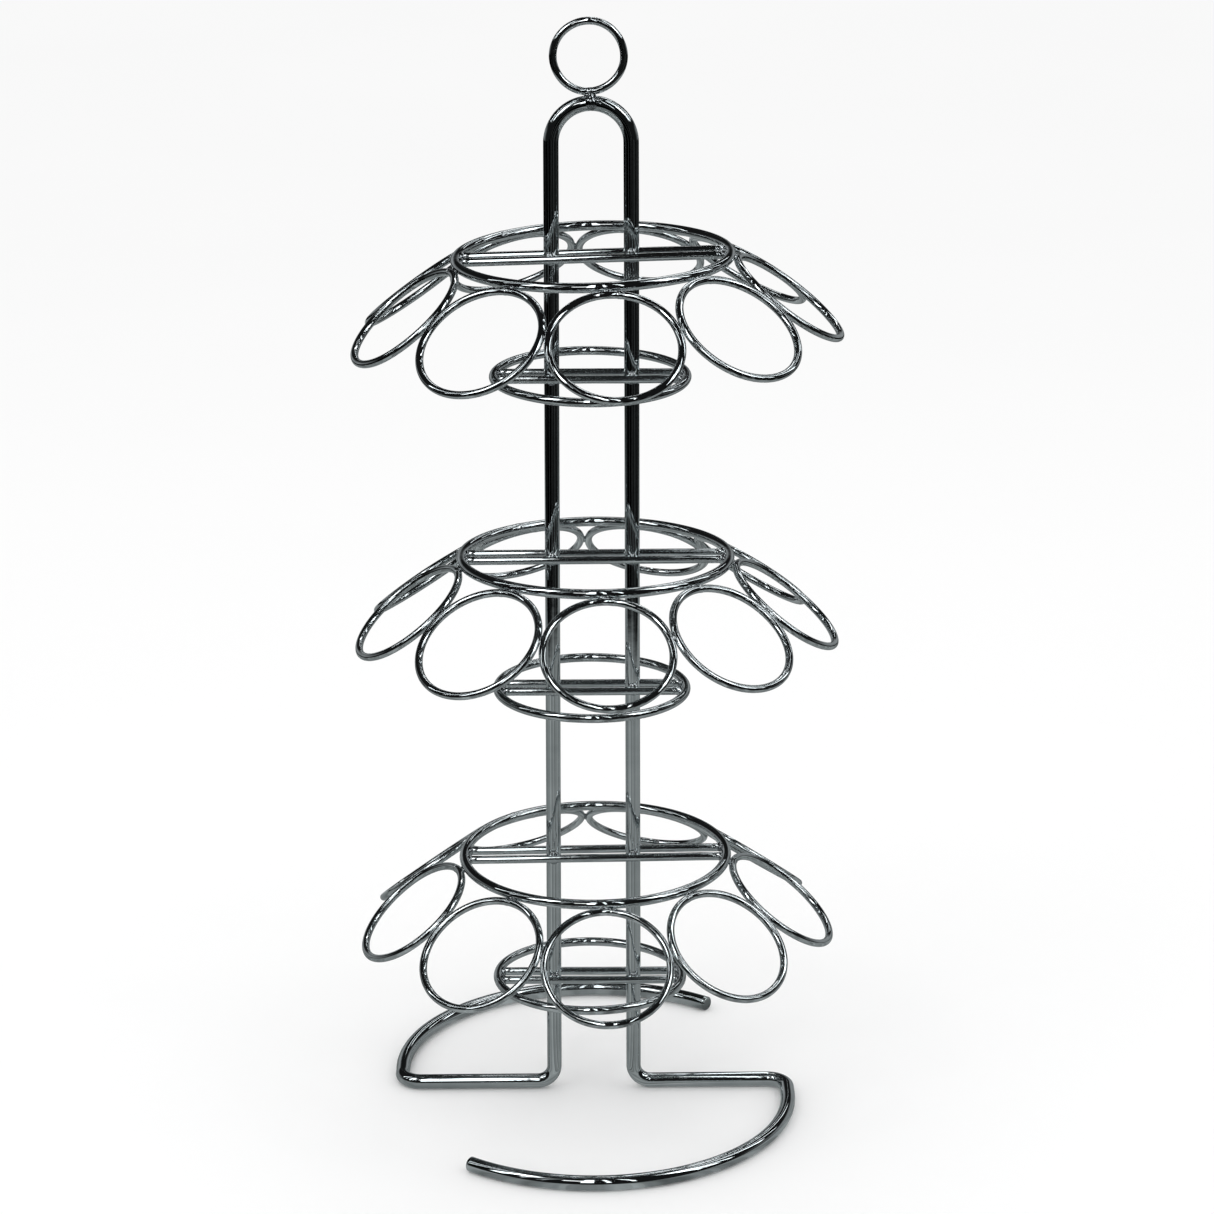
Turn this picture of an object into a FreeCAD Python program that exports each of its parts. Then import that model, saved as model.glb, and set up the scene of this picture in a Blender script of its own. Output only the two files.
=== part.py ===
import FreeCAD, Part
import math
import os
from collections import namedtuple

from FreeCAD import Placement, Rotation, Vector

os.makedirs("parts", exist_ok=True)

# A three-tier wire stand for single-serve drink capsules, welded up from bent round rod and
# plated. +Z is up, the origin is on the table under the middle of the stand, and the bars run
# along X. Two equal bent rods make the frame. Each tier is a ring of nine sloping capsule rings
# hung round a level hub ring, with a smaller lower ring under it to steady the capsules.

# Driving dimensions, in millimetres and degrees.

# Capsule rings. The slope is how far a ring's plane falls below level towards the outside.
capsule_bore_d = 46.9
capsule_wire_d = 3.1
capsule_count = 9
capsule_slope = 38.0
# How far below level, seen from the hub wire, a capsule ring's top leans on that wire.
capsule_lean_angle = 36.0

# Hub rings, lower rings and the bars across them.
hub_wire_d = 4.0
lower_ring_r = 38.0
lower_wire_d = 3.6
bar_d = 3.4

# Frame rods. The posts stand a little further apart at the foot than under the arch.
rod_d = 6.0
post_half_top = 15.5
post_half_foot = 16.5
post_bend_r = 7.0
foot_reach = 80.0
foot_bend_r = 8.0
foot_straight = 14.2
foot_sweep = 129.0
arch_rise = 60.0

# Finger ring on top of the arch, by which the stand is carried.
finger_ring_r = 13.6
finger_wire_d = 3.0
finger_ring_shift = -0.9

# Tiers. The height is that of the hub ring above the table or above the tier below it, and the
# drop is from there to the lower ring. The turn swings the capsule rings about the posts.
bottom_tier_height = 104.8
middle_tier_pitch = 127.5
top_tier_pitch = 122.8
bottom_lower_drop = 54.2
middle_lower_drop = 55.3
top_lower_drop = 48.3
bottom_turn = 2.7
middle_turn = 2.9
top_turn = 5.2

# Hand welding leaves each hub and lower ring a little off true: moved to the right, leaning with
# its right-hand side up, and nodding with its front up.
Skew = namedtuple("Skew", "shift lean nod")
top_hub_skew = Skew(shift=0.6, lean=1.5, nod=0.2)
top_lower_skew = Skew(shift=-0.6, lean=-0.1, nod=-0.6)
middle_hub_skew = Skew(shift=1.2, lean=0.1, nod=1.9)
middle_lower_skew = Skew(shift=-0.4, lean=-0.1, nod=0.6)
bottom_hub_skew = Skew(shift=0.8, lean=0.5, nod=-0.2)
bottom_lower_skew = Skew(shift=-1.6, lean=-0.2, nod=1.8)

# Welds. Wires that are welded together stand this far apart, and the bead fills the space.
weld_gap = 0.1
ring_bead_r = 1.8
post_bead_r = 2.1
bar_bead_wall = 0.8
arch_bead_wall = 1.0
# A bead's ball has its poles along a skew line, clear of every wire that cuts it.
bead_pole = Vector(1, 2, 3)

# Derived sizes.
capsule_ring_r = (capsule_bore_d + capsule_wire_d) / 2
capsule_step = 360.0 / capsule_count
middle_tier_height = bottom_tier_height + middle_tier_pitch
top_tier_height = middle_tier_height + top_tier_pitch
arch_height = top_tier_height + arch_rise
arch_centre_z = arch_height - post_half_top
foot_z = rod_d / 2
bar_y = rod_d / 2 + weld_gap + bar_d / 2
finger_ring_z = arch_height + rod_d / 2 + weld_gap + finger_wire_d / 2 + finger_ring_r

# Neighbouring capsule rings touch on the upright plane midway between them. side_reach is how
# far a ring's centre line reaches towards that plane, which sets how far out the rings sit.
half_step = math.radians(capsule_step / 2)
slope = math.radians(capsule_slope)
side_share = math.hypot(math.cos(half_step), math.sin(half_step) * math.cos(slope))
side_reach = capsule_ring_r * side_share
capsule_centre_r = (side_reach + capsule_wire_d / 2 + weld_gap / 2) / math.sin(half_step)

# Each capsule ring's top leans on the outside of the hub wire, which sets the hub ring's size
# and the capsule rings' height.
lean_angle = math.radians(capsule_lean_angle)
hub_spacing = (hub_wire_d + capsule_wire_d) / 2 + weld_gap
hub_ring_r = capsule_centre_r - capsule_ring_r * math.cos(slope) - hub_spacing * math.cos(lean_angle)
capsule_centre_z = -capsule_ring_r * math.sin(slope) - hub_spacing * math.sin(lean_angle)

# The posts' splay is the line from the foot corner that just touches the arch.
foot_diagonal = math.hypot(post_half_foot, arch_centre_z - foot_z)
foot_bearing = math.atan2(arch_centre_z - foot_z, post_half_foot)
splay = math.acos(post_half_top / foot_diagonal) - foot_bearing

# A tier is the turn of its capsule rings and the heights and skews of its two level rings.
Tier = namedtuple("Tier", "name turn hub_z hub_skew lower_z lower_skew")
top_lower_z = top_tier_height - top_lower_drop
middle_lower_z = middle_tier_height - middle_lower_drop
bottom_lower_z = bottom_tier_height - bottom_lower_drop
tiers = (
    Tier("top", top_turn, top_tier_height, top_hub_skew, top_lower_z, top_lower_skew),
    Tier("middle", middle_turn, middle_tier_height, middle_hub_skew, middle_lower_z, middle_lower_skew),
    Tier("bottom", bottom_turn, bottom_tier_height, bottom_hub_skew, bottom_lower_z, bottom_lower_skew),
)


def save(name, solids):
    """Write one node's solids to its STEP file."""
    shape = solids[0] if len(solids) == 1 else Part.makeCompound(solids)
    shape.exportStep(os.path.join("parts", name + ".step"))


def placed(shape, placement):
    """A copy of a shape moved by a placement."""
    copy = shape.copy()
    copy.Placement = placement.multiply(copy.Placement)
    return copy


def bend(before, corner, after, radius):
    """The arc that rounds the corner between two straight runs."""
    back = (before - corner).normalize()
    ahead = (after - corner).normalize()
    half = back.getAngle(ahead) / 2
    reach = radius / math.tan(half)
    middle = corner + (back + ahead).normalize() * (radius / math.sin(half) - radius)
    return Part.Arc(corner + back * reach, middle, corner + ahead * reach).toShape()


def on_arch(angle):
    """The point of the arch's centre line at an angle from its top towards +X."""
    return Vector(math.sin(angle), 0, math.cos(angle)) * post_half_top + Vector(0, 0, arch_centre_z)


def on_foot(angle):
    """The point of the foot arc's centre line at an angle from +X towards -Y."""
    return Vector(math.cos(angle), -math.sin(angle), 0) * foot_reach + Vector(0, -foot_straight, foot_z)


def post_x(height):
    """How far a post's centre line is from the middle at a height."""
    return post_half_foot - (height - foot_z) * math.tan(splay)


def rod_path():
    """Centre line of the right-hand frame rod: half arch, post, foot bar and foot arc."""
    arch_start = math.asin(weld_gap / 2 / post_half_top)
    arch_end = math.pi / 2 - splay
    arch = Part.Arc(on_arch(arch_start), on_arch((arch_start + arch_end) / 2), on_arch(arch_end))
    post_foot = Vector(post_half_foot, 0, foot_z)
    bar_end = Vector(foot_reach, 0, foot_z)
    sweep = math.radians(foot_sweep)
    foot_arc = Part.Arc(on_foot(0), on_foot(sweep / 2), on_foot(sweep))
    post_bend = bend(on_arch(arch_end), post_foot, bar_end, post_bend_r)
    foot_bend = bend(post_foot, bar_end, on_foot(0), foot_bend_r)
    curved = [arch.toShape(), post_bend, foot_bend, foot_arc.toShape()]
    path = []
    for edge, following in zip(curved, curved[1:]):
        path.append(edge)
        path.append(Part.makeLine(edge.lastVertex().Point, following.firstVertex().Point))
    return Part.Wire(path + curved[-1:])


def frame_rods():
    """The two equal frame rods, half a turn apart."""
    path = rod_path()
    first = path.Edges[0]
    section = Part.makeCircle(rod_d / 2, first.firstVertex().Point, first.tangentAt(first.FirstParameter))
    right = path.makePipeShell([Part.Wire(section)], True, False)
    left = placed(right, Placement(Vector(), Rotation(Vector(0, 0, 1), 180)))
    return right, left


def ring(radius, wire_d):
    """A level round ring of wire about the origin, with its radius to the wire's middle."""
    section = Part.makeCircle(wire_d / 2, Vector(radius, 0, 0), Vector(0, 1, 0))
    disc = Part.Face(Part.Wire(section))
    return disc.revolve(Vector(), Vector(0, 0, 1), 360)


def level_placement(height, skew):
    """Where the middle of a hub or lower ring sits on the posts, with its skew."""
    lean = Rotation(Vector(0, 1, 0), -skew.lean)
    nod = Rotation(Vector(1, 0, 0), -skew.nod)
    return Placement(Vector(skew.shift, 0, height), lean * nod)


def capsule_swing(tier, index):
    """The turn about the posts of a tier's capsule ring, counted from the front one."""
    return Placement(Vector(), Rotation(Vector(0, 0, 1), tier.turn - 90 + index * capsule_step))


def capsule_ring(tier, index):
    """One sloping capsule ring, seen from its tier's middle."""
    seat = Placement(Vector(capsule_centre_r, 0, capsule_centre_z), Rotation(Vector(0, 1, 0), capsule_slope))
    return placed(ring(capsule_ring_r, capsule_wire_d), capsule_swing(tier, index) * seat)


def bead(point, radius, wires):
    """A weld bead: a ball about the joint, less the wires that it joins."""
    ball = Part.makeSphere(radius, point, bead_pole)
    for wire in wires:
        ball = ball.cut(wire)
    return max(ball.Solids, key=lambda solid: solid.Volume)


def hub_contact():
    """Where a capsule ring's top leans on the hub wire, before its swing."""
    reach = (hub_wire_d + weld_gap) / 2
    return Vector(hub_ring_r + reach * math.cos(lean_angle), 0, -reach * math.sin(lean_angle))


def side_contact():
    """Where a capsule ring meets the next one, before its swing."""
    inward = capsule_ring_r / side_share * math.sin(half_step) * math.cos(slope)
    sideways = capsule_ring_r / side_share * math.cos(half_step)
    reach = (capsule_wire_d + weld_gap) / 2
    x = capsule_centre_r - inward * math.cos(slope) - reach * math.sin(half_step)
    y = sideways + reach * math.cos(half_step)
    return Vector(x, y, capsule_centre_z + inward * math.sin(slope))


def capsule_welds(tier):
    """Beads that join each capsule ring to the hub ring and to the next capsule ring."""
    hub = ring(hub_ring_r, hub_wire_d)
    first = capsule_ring(tier, 0)
    second = capsule_ring(tier, 1)
    swing = capsule_swing(tier, 0)
    on_hub = bead(swing.multVec(hub_contact()), ring_bead_r, [hub, first])
    on_side = bead(swing.multVec(side_contact()), ring_bead_r, [first, second])
    level = level_placement(tier.hub_z, tier.hub_skew)
    beads = []
    for index in range(capsule_count):
        position = level * Placement(Vector(), Rotation(Vector(0, 0, 1), index * capsule_step))
        beads.append(placed(on_hub, position))
        beads.append(placed(on_side, position))
    return beads


def bar_half(ring_r, wire_d):
    """Half the length of a bar that ends just inside a ring."""
    return math.sqrt((ring_r - wire_d / 2) ** 2 - (bar_y + bar_d / 2) ** 2) - weld_gap


def front_bar(half):
    """The bar that crosses a ring in front of the posts, seen from the ring's middle."""
    return Part.makeCylinder(bar_d / 2, 2 * half, Vector(-half, -bar_y, 0), Vector(1, 0, 0))


def end_welds(carried, bar, half):
    """Beads at both ends of the front and rear bars, seen from the ring's middle."""
    reach = bar_d / 2 + bar_bead_wall
    pair = [bead(Vector(x, -bar_y, 0), reach, [carried, bar]) for x in (half, -half)]
    half_turn = Placement(Vector(), Rotation(Vector(0, 0, 1), 180))
    return pair + [placed(weld, half_turn) for weld in pair]


def post_welds(height, skew, pair, rods):
    """Beads where each bar crosses each post."""
    level = level_placement(height, skew)
    y = (rod_d + weld_gap) / 2
    beads = []
    for side, bar in zip((-1, 1), pair):
        for hand, rod in zip((1, -1), rods):
            x = (hand * post_x(height) - skew.shift) / math.cos(math.radians(skew.lean))
            point = level.multVec(Vector(x, side * y, 0))
            beads.append(bead(point, post_bead_r, [rod, bar]))
    return beads


def build_carrier(name, height, skew, radius, wire_d, rods):
    """A hub or lower ring with its two bars and their welds."""
    level = level_placement(height, skew)
    carried = ring(radius, wire_d)
    half = bar_half(radius, wire_d)
    bar = front_bar(half)
    half_turn = Placement(Vector(), Rotation(Vector(0, 0, 1), 180))
    pair = [placed(bar, level), placed(bar, level * half_turn)]
    ends = [placed(weld, level) for weld in end_welds(carried, bar, half)]
    save(name + "_ring", [placed(carried, level)])
    save(name + "_bar_front", pair[:1])
    save(name + "_bar_rear", pair[1:])
    save(name + "_bar_welds", ends + post_welds(height, skew, pair, rods))


def build_tier(tier, rods):
    """One tier: hub ring and lower ring with their bars, and the capsule rings with their welds."""
    build_carrier(tier.name + "_hub", tier.hub_z, tier.hub_skew, hub_ring_r, hub_wire_d, rods)
    build_carrier(tier.name + "_lower", tier.lower_z, tier.lower_skew, lower_ring_r, lower_wire_d, rods)
    level = level_placement(tier.hub_z, tier.hub_skew)
    for index in range(capsule_count):
        save(f"{tier.name}_capsule_ring_{index + 1}", [placed(capsule_ring(tier, index), level)])
    save(tier.name + "_capsule_welds", capsule_welds(tier))


def build_finger_ring(rods):
    """The finger ring upright on the arch, and the bead that joins it and both rods."""
    position = Placement(Vector(finger_ring_shift, 0, finger_ring_z), Rotation(Vector(1, 0, 0), 90))
    finger = placed(ring(finger_ring_r, finger_wire_d), position)
    save("finger_ring", [finger])
    middle = Vector(0, 0, arch_height + rod_d / 4)
    save("arch_weld", [bead(middle, rod_d / 2 + arch_bead_wall, list(rods) + [finger])])


rods = frame_rods()
save("frame_rod_right", rods[:1])
save("frame_rod_left", rods[1:])
build_finger_ring(rods)
for tier in tiers:
    build_tier(tier, rods)
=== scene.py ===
import math

import bmesh
import bpy
import numpy as np
from mathutils import Matrix, Vector


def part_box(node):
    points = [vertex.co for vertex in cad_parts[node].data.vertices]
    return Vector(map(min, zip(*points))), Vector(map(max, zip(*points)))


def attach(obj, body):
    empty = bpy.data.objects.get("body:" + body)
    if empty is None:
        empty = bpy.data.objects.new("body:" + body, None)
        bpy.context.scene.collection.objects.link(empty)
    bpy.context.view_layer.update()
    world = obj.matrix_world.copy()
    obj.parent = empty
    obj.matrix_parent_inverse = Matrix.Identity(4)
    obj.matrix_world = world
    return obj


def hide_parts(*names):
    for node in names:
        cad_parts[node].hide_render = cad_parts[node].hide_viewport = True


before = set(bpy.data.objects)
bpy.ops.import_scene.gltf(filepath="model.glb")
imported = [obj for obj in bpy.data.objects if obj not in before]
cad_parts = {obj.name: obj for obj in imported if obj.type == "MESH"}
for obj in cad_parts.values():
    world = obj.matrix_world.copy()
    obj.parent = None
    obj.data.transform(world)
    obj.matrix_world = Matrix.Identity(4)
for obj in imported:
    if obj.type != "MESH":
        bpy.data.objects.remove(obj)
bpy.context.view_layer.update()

# Sizes in metres and angles in degrees, as the stand is built.
TIERS = ("top", "middle", "bottom")
CAPSULE_COUNT = 9
ROD_R = 0.003
POST_HALF_TOP = 0.0155
POST_HALF_FOOT = 0.0165
POST_BEND_R = 0.007
FOOT_BEND_R = 0.008
FOOT_SWEEP = 129.0

# How far wires wander from true, how much their cut ends are eased, and the butt seams of rings.
ROD_WANDER = 0.00004
BAR_WANDER = 0.00002
RING_WANDER = 0.00012
CAPSULE_WANDER = 0.00016
ROD_CHAMFER = 0.0003
BAR_CHAMFER = 0.0002
SEAM_HALF = 0.0011
SEAM_BULGE = 0.00009
FINGER_SEAM = 177
CARRIER_SEAM = (20, 60)
CAPSULE_SEAM = (4, 12)

# Sides of a wire's section.
ROD_SIDES = 40
RING_SIDES = 28
WIRE_SIDES = 24

# Half sizes of the weld beads, and how far the beads at the bars' ends lie past them.
END_BEAD = (0.0016, 0.0022, 0.0019)
END_BEAD_OUT = 0.0002
POST_BEAD = (0.0023, 0.0013, 0.0028)
HUB_BEAD = (0.0021, 0.0014, 0.0010)
SIDE_BEAD = (0.0020, 0.0013, 0.0008)

# Chrome's tint where it is dark and where it is bright.
CHROME_DARK = (0.60, 0.63, 0.64)
CHROME_LIGHT = (0.72, 0.75, 0.76)
WIRE_LIGHT = (0.74, 0.77, 0.78)
WELD_DARK = (0.24, 0.25, 0.26)
WELD_LIGHT = (0.60, 0.63, 0.64)

# The room that the metal reflects. Heights are sines of the angle above level.
ROOM_R = 3.0
ROOM_SHINE = 0.010
WALL_FOOT = (-0.02, 0.03)
WALL_HEAD = (0.20, 0.36)
WALL_SIDE = (-0.2, 0.8)
WALL_SHINE = (0.12, 0.40)
WINDOW_FOOT = (0.42, 0.47)
WINDOW_HEAD = (0.90, 0.94)
WINDOW_EDGE = (0.58, 0.61)
WINDOW_SHINE = 3.2
TABLE_LIFT = 0.0002
TABLE_MIDDLE = (0.0, 0.75, 0.0)
TABLE_REACH = (0.75, 1.35, 1.0)
TABLE_EDGE = (0.94, 1.06)
TABLE_SHINE = (0.08, 0.44)
STREAK_EDGE = (0.60, 0.64)
STREAK_SHINE = 0.09

BODY = "root"
rng = np.random.default_rng(27)


# ---------------------------------------------------------------- reading the frame

def node_points(name):
    """The vertices of a CAD node as an array."""
    return np.array([vertex.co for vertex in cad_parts[name].data.vertices], float)


def unit(vector):
    """A vector scaled to length one."""
    return vector / np.linalg.norm(vector)


def read_ring(name):
    """A CAD ring's middle, axis, direction to its highest point, radius and wire radius."""
    points = node_points(name)
    middle = (points.min(0) + points.max(0)) / 2
    axis = np.linalg.svd(points - points.mean(0), full_matrices=False)[2][2]
    axis = axis if axis[2] > 0 or (abs(axis[2]) < 0.1 and axis[1] > 0) else -axis
    rise = np.array([0.0, 0.0, 1.0]) - axis * axis[2]
    if np.linalg.norm(rise) < 0.1:
        rise = np.array([0.0, 1.0, 0.0]) - axis * axis[1]
    rise = unit(rise)
    height = (points - middle) @ axis
    spread = np.linalg.norm(points - middle - np.outer(height, axis), axis=1)
    wire = (height.max() - height.min()) / 2
    return {"middle": middle, "axis": axis, "rise": rise, "radius": spread.max() - wire, "wire": wire}


def read_bar(name):
    """A CAD bar's two ends and its radius."""
    points = node_points(name)
    middle = (points.min(0) + points.max(0)) / 2
    along = np.linalg.svd(points - points.mean(0), full_matrices=False)[2][0]
    along = along if along[0] > 0 else -along
    reach = (points - middle) @ along
    side = np.linalg.norm(points - middle - np.outer(reach, along), axis=1)
    return {"start": middle + along * reach.min(), "end": middle + along * reach.max(), "wire": side.max()}


# ---------------------------------------------------------------- wire meshes

def make_object(name, verts, faces, uvs=None, sharp_from=None):
    """A mesh object with smooth faces, wire coordinates as UVs and hard edges round its cut ends."""
    mesh = bpy.data.meshes.new(name)
    mesh.from_pydata([tuple(v) for v in verts], [], faces)
    mesh.update()
    mesh.polygons.foreach_set("use_smooth", [True] * len(faces))
    if uvs is not None:
        layer = mesh.uv_layers.new(name="wire")
        loops = np.zeros(len(mesh.loops), int)
        mesh.loops.foreach_get("vertex_index", loops)
        layer.data.foreach_set("uv", np.asarray(uvs)[loops].ravel())
    if sharp_from is not None:
        work = bmesh.new()
        work.from_mesh(mesh)
        work.faces.ensure_lookup_table()
        for face in work.faces[sharp_from:]:
            for edge in face.edges:
                edge.smooth = False
        work.to_mesh(mesh)
        work.free()
    thing = bpy.data.objects.new(name, mesh)
    bpy.context.scene.collection.objects.link(thing)
    return thing


def drift(count, length, size, closed):
    """Smooth small wandering of a wire: a sum of a few waves along it, seeded for this script."""
    along = np.linspace(0, 1, count, endpoint=not closed)
    total = np.zeros(count)
    waves = range(2, 6) if closed else np.arange(1, 7) * length / 0.12
    for wave in waves:
        cycles = wave if closed else wave * rng.uniform(0.8, 1.2)
        total += rng.normal() / (1 + wave) * np.sin(2 * math.pi * (cycles * along + rng.uniform()))
    return total * size


def sweep(name, line, across, over, radii, closed, section):
    """A round wire along a line of points, with the section spanned by across and over."""
    count = len(line)
    turn = np.linspace(0, 2 * math.pi, section, endpoint=False)
    rings = (
        line[:, None]
        + (radii[:, None] * np.cos(turn))[:, :, None] * across[:, None]
        + (radii[:, None] * np.sin(turn))[:, :, None] * over[:, None]
    )
    verts = rings.reshape(-1, 3)
    step = np.linalg.norm(np.diff(line, axis=0), axis=1)
    along = np.concatenate([[0], np.cumsum(step)])
    girth = turn * radii.max()
    uvs = np.stack(np.meshgrid(along, girth, indexing="ij"), -1).reshape(-1, 2)
    faces = []
    for i in range(count if closed else count - 1):
        a, b = i * section, ((i + 1) % count) * section
        for j in range(section):
            k = (j + 1) % section
            faces.append((a + j, a + k, b + k, b + j))
    ends = None
    if not closed:
        ends = len(faces)
        faces.append(tuple(range(section - 1, -1, -1)))
        faces.append(tuple(range((count - 1) * section, count * section)))
    return make_object(name, verts, faces, uvs, ends)


def transported(line):
    """Section directions carried along an open line without twist."""
    tangent = np.gradient(line, axis=0)
    tangent /= np.linalg.norm(tangent, axis=1)[:, None]
    start = np.cross(tangent[0], [0.0, 1.0, 0.0])
    if np.linalg.norm(start) < 0.5:
        start = np.cross(tangent[0], [1.0, 0.0, 0.0])
    across = [unit(start)]
    for direction in tangent[1:]:
        across.append(unit(across[-1] - direction * (across[-1] @ direction)))
    across = np.array(across)
    return across, np.cross(tangent, across)


def open_wire(name, line, wire, wander, chamfer, section):
    """A wire with two cut ends whose rims are slightly eased."""
    length = np.linalg.norm(np.diff(line, axis=0), axis=1).sum()
    across, over = transported(line)
    share = np.linspace(0, 1, len(line))
    ease = np.clip(share * 20, 0, 1) * np.clip((1 - share) * 20, 0, 1)
    line = line + across * (drift(len(line), length, wander, False) * ease)[:, None]
    line = line + over * (drift(len(line), length, wander, False) * ease)[:, None]
    head, tail = unit(line[1] - line[0]), unit(line[-1] - line[-2])
    first, last = line[:1], line[-1:]
    line = np.vstack([first, first + head * chamfer, line[1:-1], last - tail * chamfer, last])
    across = np.vstack([across[:1], across, across[-1:]])
    over = np.vstack([over[:1], over, over[-1:]])
    radii = np.full(len(line), wire)
    radii[[0, -1]] -= chamfer
    return sweep(name, line, across, over, radii, False, section)


def ring_wire(name, ring, seam_at, wander, section):
    """A closed ring of wire with its butt seam at an angle from its highest point."""
    seam = math.radians(seam_at)
    half_seam = SEAM_HALF / ring["radius"]
    near = seam + half_seam * np.array([-1, -0.6, -0.3, -0.14, -0.07, 0, 0.07, 0.14, 0.3, 0.6, 1])
    far = np.linspace(seam + half_seam, seam + 2 * math.pi - half_seam, 200)[1:-1]
    angles = np.concatenate([near, far])
    bulge = np.array([0, 0.35, 0.9, 1.0, 0.4, -1.6, 0.4, 1.0, 0.9, 0.35, 0]) * SEAM_BULGE
    side = np.cross(ring["axis"], ring["rise"])
    outward = np.outer(np.cos(angles), ring["rise"]) + np.outer(np.sin(angles), side)
    wave = np.linspace(0, 2 * math.pi, 721)
    radial, lift = (
        np.interp((angles - seam) % (2 * math.pi), wave, np.append(values, values[0]))
        for values in (drift(720, 1, wander, True), drift(720, 1, wander, True))
    )
    line = ring["middle"] + outward * (ring["radius"] + radial)[:, None] + np.outer(lift, ring["axis"])
    radii = ring["wire"] + np.concatenate([bulge, np.zeros(len(far))])
    axis = np.tile(ring["axis"], (len(angles), 1))
    return sweep(name, line, outward, axis, radii, True, section)


def arc(middle, first, second, radius, start, end, step):
    """Points on an arc from start to end degrees, where first is at 0 and second at 90."""
    count = max(3, int(abs(end - start) / step))
    angle = np.radians(np.linspace(start, end, count))
    return middle + radius * (np.outer(np.cos(angle), first) + np.outer(np.sin(angle), second))


def rounded_corner(before, corner, after, radius):
    """Points on the arc that rounds a corner between two straight runs."""
    back, ahead = unit(before - corner), unit(after - corner)
    half = math.acos(back @ ahead) / 2
    middle = corner + unit(back + ahead) * radius / math.sin(half)
    first = unit(corner + back * radius / math.tan(half) - middle)
    last = unit(corner + ahead * radius / math.tan(half) - middle)
    second = unit(last - first * (last @ first))
    return arc(middle, first, second, radius, 0, 180 - math.degrees(2 * half), 4)


def straight(start, end, spacing=0.003):
    """Points inside a straight run."""
    count = max(2, int(np.linalg.norm(end - start) / spacing))
    return start + np.outer(np.linspace(0, 1, count + 1)[1:-1], end - start)


def rod_line():
    """Centre line of the right-hand frame rod."""
    low, high = (np.array(corner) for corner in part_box("frame_rod_right"))
    reach = high[0] - ROD_R
    arch_z = high[2] - ROD_R - POST_HALF_TOP
    setback = -(low[1] + ROD_R) - reach
    x, y, z = np.eye(3)
    bearing = math.atan2(arch_z - ROD_R, POST_HALF_FOOT)
    diagonal = math.hypot(arch_z - ROD_R, POST_HALF_FOOT)
    splay = math.degrees(math.acos(POST_HALF_TOP / diagonal) - bearing)
    arch = arc(z * arch_z, z, x, POST_HALF_TOP, 0.2, 90 - splay, 2.5)
    foot = arc(z * ROD_R - y * setback, x, -y, reach, 0, FOOT_SWEEP, 1.2)
    corner = x * POST_HALF_FOOT + z * ROD_R
    knee = x * reach + z * ROD_R
    post_bend = rounded_corner(arch[-1], corner, knee, POST_BEND_R)
    foot_bend = rounded_corner(corner, knee, foot[0], FOOT_BEND_R)
    return np.vstack([
        arch, straight(arch[-1], post_bend[0]), post_bend,
        straight(post_bend[-1], foot_bend[0]), foot_bend,
        straight(foot_bend[-1], foot[0]), foot,
    ])


# ---------------------------------------------------------------- weld beads

def blob(middle, axes, sizes, rough, detail=3):
    """Vertices and faces of a lumpy bead with its half sizes along three axes."""
    ball = bmesh.new()
    bmesh.ops.create_icosphere(ball, subdivisions=detail, radius=1.0)
    directions = np.array([vertex.co for vertex in ball.verts])
    faces = [tuple(vertex.index for vertex in face.verts) for face in ball.faces]
    ball.free()
    lumps = np.ones(len(directions))
    for _ in range(7):
        pull = unit(rng.normal(size=3))
        lumps += rough * rng.normal() * np.exp(-((directions @ pull - 1) ** 2) / 0.18)
    verts = middle + (directions * lumps[:, None] * np.array(sizes)) @ np.array(axes)
    return verts, faces


def join(name, blobs):
    """One object from several beads."""
    verts, faces, offset = [], [], 0
    for points, polygons in blobs:
        verts.append(points)
        faces += [tuple(index + offset for index in polygon) for polygon in polygons]
        offset += len(points)
    return make_object(name, np.vstack(verts), faces)


def contact(one, other):
    """Where two rings come nearest: the point between them, the way across and the way along."""
    angle = np.linspace(0, 2 * math.pi, 720, endpoint=False)
    lines = []
    for ring in (one, other):
        side = np.cross(ring["axis"], ring["rise"])
        spokes = np.outer(np.cos(angle), ring["rise"]) + np.outer(np.sin(angle), side)
        lines.append(ring["middle"] + ring["radius"] * spokes)
    gaps = np.linalg.norm(lines[0][:, None] - lines[1][None], axis=2)
    i, j = np.unravel_index(gaps.argmin(), gaps.shape)
    across = unit(lines[1][j] - lines[0][i])
    along = lines[0][(i + 1) % 720] - lines[0][i - 1]
    along = unit(along - across * (along @ across))
    point = lines[0][i] + across * (one["wire"] + (gaps[i, j] - one["wire"] - other["wire"]) / 2)
    return point, across, along


def ring_bead(one, other, sizes):
    """The bead in the groove where two rings touch."""
    point, across, along = contact(one, other)
    return blob(point, (along, np.cross(across, along), across), sizes, 0.10)


# ---------------------------------------------------------------- materials

def node_tools(material):
    """Short helpers to add and join shader nodes."""
    nodes, links = material.node_tree.nodes, material.node_tree.links

    def add(kind, **settings):
        node = nodes.new(kind)
        for key, value in settings.items():
            setattr(node, key, value)
        return node

    return nodes, links, add


def noise(add, links, vector, scale, detail, stretch=None):
    """A noise texture, stretched along the wire if asked."""
    texture = add("ShaderNodeTexNoise")
    texture.inputs["Scale"].default_value = scale
    texture.inputs["Detail"].default_value = detail
    if stretch is not None:
        mapping = add("ShaderNodeMapping")
        mapping.inputs["Scale"].default_value = stretch
        links.new(vector, mapping.inputs["Vector"])
        vector = mapping.outputs["Vector"]
    links.new(vector, texture.inputs["Vector"])
    return texture.outputs["Fac"]


def ramp(add, links, factor, low, high, dark, light):
    """A two-stop colour ramp."""
    node = add("ShaderNodeValToRGB")
    stops = node.color_ramp.elements
    stops[0].position, stops[1].position = low, high
    stops[0].color, stops[1].color = (*dark, 1), (*light, 1)
    links.new(factor, node.inputs["Fac"])
    return node.outputs["Color"]


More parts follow.
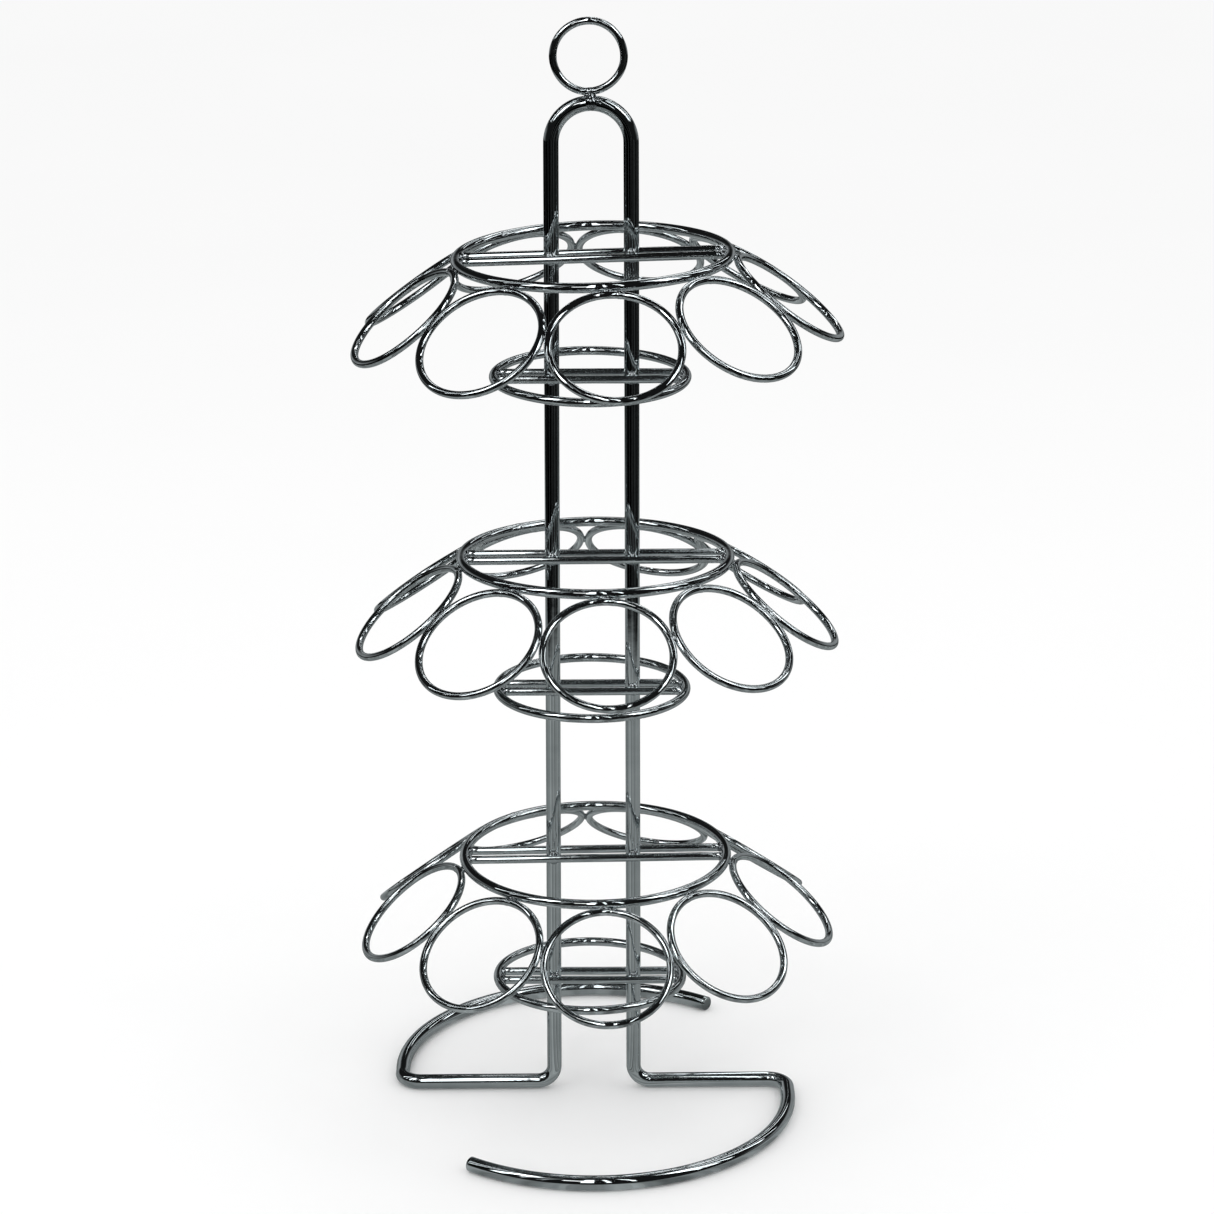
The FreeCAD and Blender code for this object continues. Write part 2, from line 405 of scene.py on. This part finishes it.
def spread(add, links, factor, low, high):
    """A noise factor mapped to a range of values."""
    node = add("ShaderNodeMapRange")
    node.inputs["From Min"].default_value = 0.3
    node.inputs["From Max"].default_value = 0.7
    node.inputs["To Min"].default_value = low
    node.inputs["To Max"].default_value = high
    links.new(factor, node.inputs["Value"])
    return node.outputs["Result"]


def bump(add, links, height, distance, strength, under=None):
    """Bumps of a depth in metres at full strength, laid over another normal if given."""
    node = add("ShaderNodeBump")
    node.inputs["Strength"].default_value = strength
    node.inputs["Distance"].default_value = distance
    links.new(height, node.inputs["Height"])
    if under is not None:
        links.new(under, node.inputs["Normal"])
    return node.outputs["Normal"]


def chrome(name, dark, light, smooth, rough, ripple, dents):
    """Bright chrome plate: cloudy tint, uneven gloss, ripples along the wire and shallow dents."""
    material = bpy.data.materials.new(name)
    material.use_nodes = True
    nodes, links, add = node_tools(material)
    shader = nodes["Principled BSDF"]
    shader.inputs["Metallic"].default_value = 1.0
    place = add("ShaderNodeTexCoord")
    cloud = noise(add, links, place.outputs["Object"], 90.0, 5.0)
    links.new(ramp(add, links, cloud, 0.35, 0.7, dark, light), shader.inputs["Base Color"])
    haze = noise(add, links, place.outputs["Object"], 260.0, 2.0)
    links.new(spread(add, links, haze, smooth, rough), shader.inputs["Roughness"])
    waves = noise(add, links, place.outputs["UV"], 1.0, 2.0, (230.0, 120.0, 1.0))
    hollows = noise(add, links, place.outputs["Object"], 420.0, 1.0)
    rippled = bump(add, links, waves, 0.0002, ripple)
    dented = bump(add, links, hollows, 0.0001, dents, rippled)
    links.new(dented, shader.inputs["Normal"])
    return material


def calculate(add, links, operation, first, second):
    """A Math node on two values, each a socket or a number."""
    node = add("ShaderNodeMath", operation=operation)
    for socket, value in zip(node.inputs, (first, second)):
        if isinstance(value, float):
            socket.default_value = value
        else:
            links.new(value, socket)
    return node.outputs["Value"]


def fade(add, links, value, start, end):
    """A value that rises smoothly from 0 at start to 1 at end."""
    node = add("ShaderNodeMapRange", interpolation_type="SMOOTHSTEP")
    node.inputs["From Min"].default_value = start
    node.inputs["From Max"].default_value = end
    links.new(value, node.inputs["Value"])
    return node.outputs["Result"]


def flag_material(name, colour, strength_of):
    """A studio flag that shines with a strength worked out from the place on it."""
    material = bpy.data.materials.new(name)
    material.use_nodes = True
    nodes, links, add = node_tools(material)
    nodes.remove(nodes["Principled BSDF"])
    shader = add("ShaderNodeEmission")
    shader.inputs["Color"].default_value = (*colour, 1)
    place = add("ShaderNodeTexCoord").outputs["Object"]
    links.new(strength_of(add, links, place), shader.inputs["Strength"])
    links.new(shader.outputs["Emission"], nodes["Material Output"].inputs["Surface"])
    return material


def vector_step(add, links, operation, vector, other=(0, 0, 0)):
    """A Vector Math node with one socket and one fixed vector."""
    node = add("ShaderNodeVectorMath", operation=operation)
    links.new(vector, node.inputs[0])
    node.inputs[1].default_value = other
    return node.outputs["Value" if operation == "LENGTH" else "Vector"]


def room_strength(add, links, place):
    """A dark room: a grey wall behind the stand, and tall windows high up all round."""
    direction = vector_step(add, links, "NORMALIZE", place)
    split = add("ShaderNodeSeparateXYZ")
    links.new(direction, split.inputs["Vector"])
    rise = split.outputs["Z"]
    above_floor = fade(add, links, rise, *WALL_FOOT)
    low = calculate(add, links, "SUBTRACT", above_floor, fade(add, links, rise, *WALL_HEAD))
    behind = calculate(add, links, "MULTIPLY", low, fade(add, links, split.outputs["Y"], *WALL_SIDE))
    cloud = noise(add, links, direction, 2.4, 3.0)
    wall = calculate(add, links, "MULTIPLY", behind, spread(add, links, cloud, *WALL_SHINE))
    above_wall = fade(add, links, rise, *WINDOW_FOOT)
    high = calculate(add, links, "SUBTRACT", above_wall, fade(add, links, rise, *WINDOW_HEAD))
    flat = vector_step(add, links, "MULTIPLY", place, (1, 1, 0))
    bearing = vector_step(add, links, "NORMALIZE", flat)
    panes = fade(add, links, noise(add, links, bearing, 6.0, 1.0), *WINDOW_EDGE)
    tall = calculate(add, links, "MULTIPLY", high, panes)
    windows = calculate(add, links, "MULTIPLY", tall, WINDOW_SHINE)
    return calculate(add, links, "ADD", calculate(add, links, "ADD", wall, windows), ROOM_SHINE)


def table_strength(add, links, place):
    """A grey table top that ends a little in front of the stand and runs on behind it."""
    across = add("ShaderNodeMapping", vector_type="TEXTURE")
    across.inputs["Location"].default_value = TABLE_MIDDLE
    across.inputs["Scale"].default_value = TABLE_REACH
    links.new(place, across.inputs["Vector"])
    reach = vector_step(add, links, "LENGTH", across.outputs["Vector"])
    table = calculate(add, links, "SUBTRACT", 1.0, fade(add, links, reach, *TABLE_EDGE))
    bearing = vector_step(add, links, "NORMALIZE", place)
    shade = spread(add, links, noise(add, links, bearing, 4.0, 4.0), *TABLE_SHINE)
    streaks = fade(add, links, noise(add, links, bearing, 9.0, 1.0), *STREAK_EDGE)
    lines = calculate(add, links, "MULTIPLY", streaks, STREAK_SHINE)
    return calculate(add, links, "ADD", calculate(add, links, "MULTIPLY", table, shade), lines)


def pale_floor():
    """Matt pale floor with a trace of unevenness."""
    material = bpy.data.materials.new("pale_floor")
    material.use_nodes = True
    nodes, links, add = node_tools(material)
    shader = nodes["Principled BSDF"]
    shader.inputs["Roughness"].default_value = 0.9
    shader.inputs["Specular IOR Level"].default_value = 0.0
    place = add("ShaderNodeTexCoord")
    cloud = noise(add, links, place.outputs["Object"], 3.0, 3.0)
    colour = ramp(add, links, cloud, 0.3, 0.7, (0.938, 0.938, 0.938), (0.945, 0.945, 0.945))
    links.new(colour, shader.inputs["Base Color"])
    return material


# ---------------------------------------------------------------- the stand

rod_chrome = chrome("rod_chrome", CHROME_DARK, CHROME_LIGHT, smooth=0.03, rough=0.06, ripple=0.05, dents=0.05)
wire_chrome = chrome("wire_chrome", CHROME_DARK, WIRE_LIGHT, smooth=0.02, rough=0.05, ripple=0.20, dents=0.10)
bar_chrome = chrome("bar_chrome", CHROME_DARK, CHROME_LIGHT, smooth=0.02, rough=0.04, ripple=0.03, dents=0.03)
weld_chrome = chrome("weld_chrome", WELD_DARK, WELD_LIGHT, smooth=0.06, rough=0.20, ripple=0.0, dents=0.8)


def finish_piece(thing, node, material):
    """A visible piece takes a CAD node's place and material."""
    thing.data.materials.append(material)
    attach(thing, BODY)
    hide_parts(node)
    return thing


def build_rods():
    """Both frame rods, half a turn apart."""
    line = rod_line()
    half_turn = np.array([-1.0, -1.0, 1.0])
    for side, points in (("right", line), ("left", line * half_turn)):
        rod = open_wire(f"rod_{side}", points, ROD_R, ROD_WANDER, ROD_CHAMFER, ROD_SIDES)
        finish_piece(rod, f"frame_rod_{side}", rod_chrome)


def build_ring(node, seam_at, wander, section):
    """A visible ring in place of a CAD ring."""
    ring = read_ring(node)
    piece = ring_wire(f"wire_{node}", ring, seam_at, wander, section)
    finish_piece(piece, node, wire_chrome)
    return ring


def build_bar(node):
    """A visible bar in place of a CAD bar."""
    bar = read_bar(node)
    line = np.vstack([bar["start"], straight(bar["start"], bar["end"]), bar["end"]])
    piece = open_wire(f"wire_{node}", line, bar["wire"], BAR_WANDER, BAR_CHAMFER, WIRE_SIDES)
    finish_piece(piece, node, bar_chrome)
    return bar


def bar_beads(bars, post_at):
    """Beads at the ends of the bars and where they cross the posts."""
    x, y, z = np.eye(3)
    beads = []
    for bar in bars:
        away = math.copysign(1.0, bar["start"][1])
        for end, out in ((bar["start"], -1), (bar["end"], 1)):
            beads.append(blob(end + x * out * END_BEAD_OUT, (x, y, z), END_BEAD, 0.10))
        for side in (-1, 1):
            share = (side * post_at - bar["start"][0]) / (bar["end"][0] - bar["start"][0])
            point = bar["start"] + share * (bar["end"] - bar["start"])
            point = point - y * away * bar["wire"]
            beads.append(blob(point, (x, y, z), POST_BEAD, 0.07))
    return beads


def post_x(height, arch_z):
    """How far a post stands from the middle at a height."""
    share = (height - ROD_R) / (arch_z - ROD_R)
    return POST_HALF_FOOT + (POST_HALF_TOP - POST_HALF_FOOT) * share


def build_carrier(prefix, arch_z):
    """A hub or lower ring with its bars and beads."""
    ring = build_ring(f"{prefix}_ring", rng.uniform(*CARRIER_SEAM), RING_WANDER, RING_SIDES)
    bars = [build_bar(f"{prefix}_bar_{place}") for place in ("front", "rear")]
    beads = join(f"beads_{prefix}_bar", bar_beads(bars, post_x(ring["middle"][2], arch_z)))
    finish_piece(beads, f"{prefix}_bar_welds", weld_chrome)
    return ring


def build_tier(tier, arch_z):
    """One tier of the stand."""
    hub = build_carrier(f"{tier}_hub", arch_z)
    build_carrier(f"{tier}_lower", arch_z)
    capsules = []
    for index in range(CAPSULE_COUNT):
        seam_at = rng.choice([-1, 1]) * rng.uniform(*CAPSULE_SEAM)
        node = f"{tier}_capsule_ring_{index + 1}"
        capsules.append(build_ring(node, seam_at, CAPSULE_WANDER, WIRE_SIDES))
    beads = []
    for index, capsule in enumerate(capsules):
        following = capsules[(index + 1) % CAPSULE_COUNT]
        beads.append(ring_bead(hub, capsule, HUB_BEAD))
        beads.append(ring_bead(capsule, following, SIDE_BEAD))
    piece = join(f"beads_{tier}_capsules", beads)
    finish_piece(piece, f"{tier}_capsule_welds", weld_chrome)


def build_top(arch_top):
    """The finger ring and the lumpy bead under it."""
    ring = build_ring("finger_ring", FINGER_SEAM, RING_WANDER, RING_SIDES)
    x, y, z = np.eye(3)
    axes = (x, y, z)
    middle = z * arch_top
    lean = x * ring["middle"][0] / 2
    beads = [
        blob(middle + lean + z * 0.0020, axes, (0.0027, 0.0033, 0.0027), 0.12, 4),
        blob(middle + x * 0.0002 + z * 0.0004 - y * 0.0015, axes, (0.0026, 0.0027, 0.0034), 0.16, 4),
        blob(middle + x * 0.0028 - y * 0.0029 + z * 0.0014, axes, (0.0012, 0.0011, 0.0010), 0.08),
        blob(middle - x * 0.0012 - y * 0.0024 + z * 0.0034, axes, (0.0011, 0.0011, 0.0010), 0.10),
    ]
    piece = join("beads_arch", beads)
    finish_piece(piece, "arch_weld", weld_chrome)


build_rods()
arch_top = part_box("frame_rod_right")[1][2] - ROD_R
for tier in TIERS:
    build_tier(tier, arch_top - POST_HALF_TOP)
build_top(arch_top)


# ---------------------------------------------------------------- stage, light and camera

def only_reflected(thing):
    """A studio flag: seen in the metal, but not by the camera, and it shades nothing."""
    thing.visible_camera = False
    thing.visible_diffuse = False
    thing.visible_transmission = False
    thing.visible_volume_scatter = False
    thing.visible_shadow = False


def dark_room():
    """Flags all round and overhead, as the metal sees them."""
    dome = bmesh.new()
    bmesh.ops.create_uvsphere(dome, u_segments=48, v_segments=24, radius=ROOM_R)
    verts = [v.co.copy() for v in dome.verts]
    faces = [tuple(v.index for v in f.verts) for f in dome.faces]
    dome.free()
    thing = make_object("dark_room", verts, faces)
    thing.data.materials.append(flag_material("room_flag", (0.93, 0.98, 1.0), room_strength))
    return thing


def grey_table():
    """The grey table top and the black floor beyond it, as the metal sees them."""
    turn = np.linspace(0, 2 * math.pi, 64, endpoint=False)
    rim = [(ROOM_R * math.cos(a), ROOM_R * math.sin(a), TABLE_LIFT) for a in turn]
    thing = make_object("grey_table", rim, [tuple(range(len(rim)))])
    thing.data.materials.append(flag_material("table_flag", (0.93, 1.0, 1.0), table_strength))
    return thing


def softbox(name, place, aim, width, depth, radiance):
    """An area lamp of a given brightness that faces a point."""
    lamp = bpy.data.lights.new(name, "AREA")
    lamp.shape = "RECTANGLE"
    lamp.size, lamp.size_y = width, depth
    lamp.energy = radiance * math.pi * width * depth
    thing = bpy.data.objects.new(name, lamp)
    bpy.context.scene.collection.objects.link(thing)
    facing = (Vector(aim) - Vector(place)).to_track_quat("-Z", "Y")
    thing.matrix_world = Matrix.Translation(Vector(place)) @ facing.to_matrix().to_4x4()
    return thing


floor = make_object("floor", [(-8, -8, 0), (8, -8, 0), (8, 8, 0), (-8, 8, 0)], [(0, 1, 2, 3)])
floor.data.materials.append(pale_floor())
only_reflected(dark_room())
only_reflected(grey_table())

# Each lamp's place, width, depth and brightness. All face the middle of the stand.
MIDDLE = (0, 0, 0.22)
LAMPS = {
    "window_left": ((-0.55, -0.45, 0.95), 0.22, 0.30, 4.0),
    "window_right": ((0.60, -0.30, 0.90), 0.16, 0.24, 3.5),
    "window_front": ((-0.17, -0.85, 0.95), 0.30, 0.12, 3.0),
    "window_rear": ((0.15, 0.70, 1.00), 0.50, 0.07, 3.0),
}
for lamp_name, (place, width, depth, radiance) in LAMPS.items():
    softbox(lamp_name, place, MIDDLE, width, depth, radiance)

world = bpy.data.worlds.new("pale_world")
bpy.context.scene.world = world
world.use_nodes = True
world.node_tree.nodes["Background"].inputs["Color"].default_value = (1, 1, 1, 1)
world.node_tree.nodes["Background"].inputs["Strength"].default_value = 1.0

CAMERA_AT = Vector((-0.0155, -1.4761, 0.7022))
CAMERA_AIM = Vector((0.0058, 0.0, 0.2111))
CAMERA_ROLL = 0.12
CAMERA_LENS = 115.15
lens = bpy.data.cameras.new("camera")
lens.lens = CAMERA_LENS
lens.sensor_width = 36.0
lens.clip_end = 60.0
camera = bpy.data.objects.new("camera", lens)
bpy.context.scene.collection.objects.link(camera)
look = (CAMERA_AIM - CAMERA_AT).to_track_quat("-Z", "Y").to_matrix().to_4x4()
roll = Matrix.Rotation(-math.radians(CAMERA_ROLL), 4, "Z")
camera.matrix_world = Matrix.Translation(CAMERA_AT) @ look @ roll
bpy.context.scene.camera = camera
bpy.context.scene.view_settings.view_transform = "Standard"
